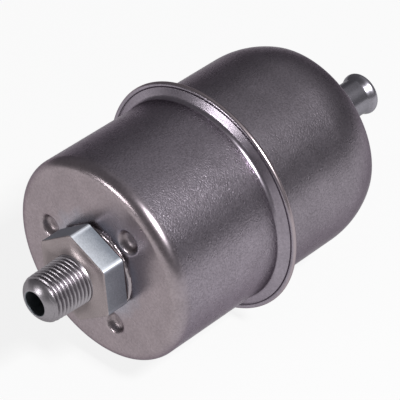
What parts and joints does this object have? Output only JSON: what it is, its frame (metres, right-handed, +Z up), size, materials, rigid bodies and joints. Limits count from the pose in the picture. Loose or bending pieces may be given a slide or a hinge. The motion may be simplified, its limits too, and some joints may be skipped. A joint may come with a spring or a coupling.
{
  "type": "fuel filter",
  "caption": "In-line fuel filter: crimped steel can with a hex pipe-thread fitting on one end and a beaded hose nipple on the other.",
  "frame": {"origin": "on the filter's axis, where the pipe thread meets the hex shoulder of the fitting", "axes": "+X along the axis from the threaded end to the hose end, +Z up, +Y to the side"},
  "size_m": [0.0965, 0.0508, 0.0508],
  "materials": {
    "can_steel": "zinc-plated drawn steel, satin",
    "rear_can_steel": "zinc-plated drawn steel, satin",
    "fitting_steel": "zinc-plated machined steel, semi-bright",
    "nipple_steel": "zinc-plated tube, semi-bright",
    "braze": "bright braze fillet",
    "gasket_rubber": "matt",
    "tin_plate": "bright tin plate",
    "paper": "resin-treated filter paper",
    "adhesive": "cured adhesive",
    "spring_steel": "bright spring wire"
  },
  "bodies": {
    "root": {"front_shell": "can_steel", "rear_shell": "rear_can_steel", "seam_gasket": "gasket_rubber", "threaded_fitting": "fitting_steel", "fitting_braze": "braze", "hose_nipple": "nipple_steel", "nipple_braze": "braze", "outlet_seal": "gasket_rubber", "cartridge_front_cap": "tin_plate", "cartridge_rear_cap": "tin_plate", "front_potting": "adhesive", "rear_potting": "adhesive", "pleated_paper": "paper", "pleat_clip": "tin_plate", "centre_tube": "tin_plate", "cartridge_spring": "spring_steel", "spring_seat": "tin_plate"}
  },
  "joints": []
}
